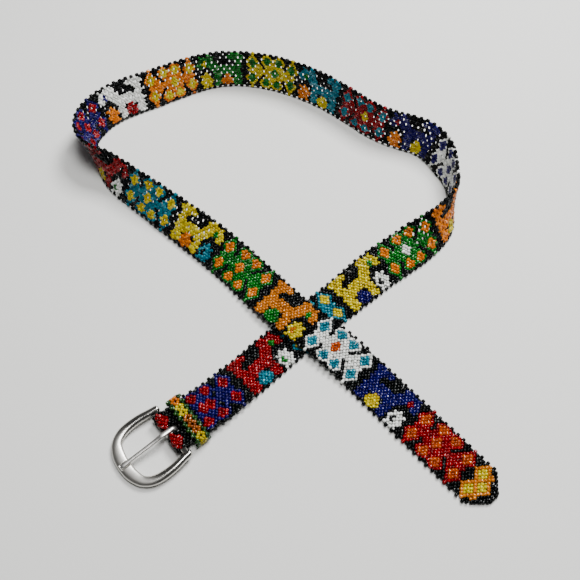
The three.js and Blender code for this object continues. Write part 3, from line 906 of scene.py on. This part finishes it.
def prongParts():
    inside = buckle["bar"] / 2 + 0.3
    thick = buckle["prongThickness"]
    reach = buckle["reach"] - frontWidth + frontWidth * buckle["notchShare"]
    top = inside + thick / 2
    seat = (buckle["thickness"] / 2 - buckle["notchDepth"]) * math.cos(frameTilt) - reach * math.sin(frameTilt)
    rest = seat + 0.3 + thick / 2
    table = [(r * reach, rest + (top - rest) * z, w * buckle["prongWidth"] / 2, h * thick / 2)
             for r, z, w, h in buckle["prongRows"]]
    line = throughPoints(table, np.linspace(0, 1, 61))
    around = 20
    angle = 2 * math.pi * np.arange(around) / around
    a = np.sign(np.cos(angle)) * np.abs(np.cos(angle)) ** 0.75
    b = np.sign(np.sin(angle)) * np.abs(np.sin(angle)) ** 0.75
    p = np.zeros((len(line), around, 3))
    p[..., 0] = line[:, :1]
    p[..., 1] = a * line[:, 2:3]
    p[..., 2] = line[:, 1:2] + b * line[:, 3:4]
    faces = [f[::-1] for f in loftFaces(len(line), around)]
    faces.append(tuple(range(around)))
    faces.append(tuple((len(line) - 1) * around + k for k in range(around - 1, -1, -1)))
    ring = []
    w = buckle["prongWidth"] / 2
    profile = [(inside, -w + 0.3), (inside + 0.3, -w), (inside + thick - 0.8, -w), (inside + thick, -w + 0.8),
               (inside + thick, w - 0.8), (inside + thick - 0.8, w), (inside + 0.3, w), (inside, w - 0.3)]
    for k in range(40):
        t = 2 * math.pi * k / 40
        ring += [(r * math.cos(t), y, r * math.sin(t)) for r, y in profile]
    ringFaces = loftFaces(40, len(profile), closed=True)
    return [(placeBuckle(p.reshape(-1, 3)), faces), (placeBuckle(np.array(ring)), ringFaces)]


metal = {
    "castTint": (0.61, 0.60, 0.575),
    "castPolish": 0.16,
    "castWorn": 0.2,            # rougher on the flat front
    "prongTint": (0.86, 0.85, 0.83),
    "prongPolish": 0.3,
    "dulling": (0.8, 0.78, 0.74),
    "cloudScale": 260,
    "cloudDetail": 6,
    "rubScale": 2600,
    "rubDetail": 4,
    "rubTurn": -41,             # degrees, along the prong
    "rubStretch": (0.08, 1, 0.3),
    "smoothest": 0.6,
    "roughest": 1.5,
    "bump": 0.1,
    "bumpDepth": 0.00005,
}


def metalMaterial(name, tint, polish, worn):
    material = bpy.data.materials.new(name)
    material.use_nodes = True
    nodes, links = material.node_tree.nodes, material.node_tree.links
    shader = nodes["Principled BSDF"]
    shader.inputs["Metallic"].default_value = 1
    where = nodes.new("ShaderNodeTexCoord")
    cloud = nodes.new("ShaderNodeTexNoise")
    cloud.inputs["Scale"].default_value = metal["cloudScale"]
    cloud.inputs["Detail"].default_value = metal["cloudDetail"]
    links.new(where.outputs["Object"], cloud.inputs["Vector"])
    rub = nodes.new("ShaderNodeTexNoise")
    rub.inputs["Scale"].default_value = metal["rubScale"]
    rub.inputs["Detail"].default_value = metal["rubDetail"]
    stretch = nodes.new("ShaderNodeMapping")
    stretch.inputs["Rotation"].default_value = (0, 0, math.radians(metal["rubTurn"]))
    stretch.inputs["Scale"].default_value = metal["rubStretch"]
    links.new(where.outputs["Object"], stretch.inputs["Vector"])
    links.new(stretch.outputs["Vector"], rub.inputs["Vector"])
    satin = nodes.new("ShaderNodeAttribute")
    satin.attribute_name = "satin"
    tone = nodes.new("ShaderNodeMix")
    tone.data_type = "RGBA"
    tone.inputs["A"].default_value = (*tint, 1)
    tone.inputs["B"].default_value = (*[t * d for t, d in zip(tint, metal["dulling"])], 1)
    links.new(cloud.outputs["Fac"], tone.inputs["Factor"])
    links.new(tone.outputs["Result"], shader.inputs["Base Color"])
    base = nodes.new("ShaderNodeMapRange")
    base.inputs["To Min"].default_value = polish * metal["smoothest"]
    base.inputs["To Max"].default_value = polish * metal["roughest"]
    links.new(cloud.outputs["Fac"], base.inputs["Value"])
    more = nodes.new("ShaderNodeMath")
    more.operation = "MULTIPLY_ADD"
    more.inputs[1].default_value = worn
    links.new(satin.outputs["Fac"], more.inputs[0])
    links.new(base.outputs["Result"], more.inputs[2])
    links.new(more.outputs[0], shader.inputs["Roughness"])
    bump = nodes.new("ShaderNodeBump")
    bump.inputs["Strength"].default_value = metal["bump"]
    bump.inputs["Distance"].default_value = metal["bumpDepth"]
    links.new(rub.outputs["Fac"], bump.inputs["Height"])
    links.new(bump.outputs["Normal"], shader.inputs["Normal"])
    return material


parts, satin = frameParts()
mesh = joinMesh("buckle_frame_cast", parts)
layer = mesh.color_attributes.new("satin", "FLOAT_COLOR", "POINT")
values = np.concatenate([satin, np.zeros(len(parts[1][0]))])
layer.data.foreach_set("color", np.stack([values, values, values, np.ones_like(values)], -1).astype(np.float32).ravel())
nickel = metalMaterial("nickel_cast", metal["castTint"], metal["castPolish"], metal["castWorn"])
makePiece("buckle_frame_cast", mesh, nickel, "buckle_frame")
prongMetal = metalMaterial("nickel_prong", metal["prongTint"], metal["prongPolish"], 0)
makePiece("prong_bent", joinMesh("prong_bent", prongParts()), prongMetal, "prong", "prong")
print("buckle made")


# Floor and light
studio = {
    "floor": (0.66, 0.66, 0.64),
    "floorHalf": 3.0,
    "floorDrop": 0.0002,
    "keyPower": 30,
    "keySize": 0.45,
    "keyPlace": (0.45, 0.65, 1.05),
    "topPower": 17,
    "topSize": 0.5,
    "topPlace": (0.16, 0, 1.28),
    "roomStrength": 0.3,
    "roomShades": [(0.02, 0.12), (0.12, 0.55), (0.5, 0.28), (0.9, 0.1)],    # height of the direction, shade
}


def makeFloor():
    mesh = bpy.data.meshes.new("floor")
    s = studio["floorHalf"]
    mesh.from_pydata([(-s, -s, 0), (s, -s, 0), (s, s, 0), (-s, s, 0)], [], [(0, 1, 2, 3)])
    floor = bpy.data.objects.new("floor", mesh)
    bpy.context.scene.collection.objects.link(floor)
    material = bpy.data.materials.new("floor_paper")
    material.use_nodes = True
    shader = material.node_tree.nodes["Principled BSDF"]
    shader.inputs["Base Color"].default_value = (*studio["floor"], 1)
    shader.inputs["Roughness"].default_value = 0.9
    shader.inputs["Specular IOR Level"].default_value = 0.2
    mesh.materials.append(material)
    floor.location.z = -studio["floorDrop"]


def makeLight(name, power, size, place):
    lamp = bpy.data.lights.new(name, "AREA")
    lamp.energy = power
    lamp.size = size
    light = bpy.data.objects.new(name, lamp)
    bpy.context.scene.collection.objects.link(light)
    light.location = place
    x, y, z = place
    light.rotation_euler = (math.atan2(math.hypot(x, y), z), 0, math.atan2(y, x) + math.pi / 2)


def makeWorld():
    world = bpy.data.worlds.new("studio")
    bpy.context.scene.world = world
    world.use_nodes = True
    nodes, links = world.node_tree.nodes, world.node_tree.links
    background = nodes["Background"]
    where = nodes.new("ShaderNodeTexCoord")
    split = nodes.new("ShaderNodeSeparateXYZ")
    ramp = nodes.new("ShaderNodeValToRGB")
    stops = ramp.color_ramp.elements
    while len(stops) < len(studio["roomShades"]):
        stops.new(0.5)
    for stop, (height, shade) in zip(stops, studio["roomShades"]):
        stop.position = height
        stop.color = (shade, shade, shade, 1)
    links.new(where.outputs["Generated"], split.inputs[0])
    links.new(split.outputs["Z"], ramp.inputs["Fac"])
    links.new(ramp.outputs["Color"], background.inputs["Color"])
    background.inputs["Strength"].default_value = studio["roomStrength"]


makeFloor()
makeLight("keySoftbox", studio["keyPower"], studio["keySize"], studio["keyPlace"])
makeLight("topSoftbox", studio["topPower"], studio["topSize"], studio["topPlace"])
makeWorld()
print("studio made")
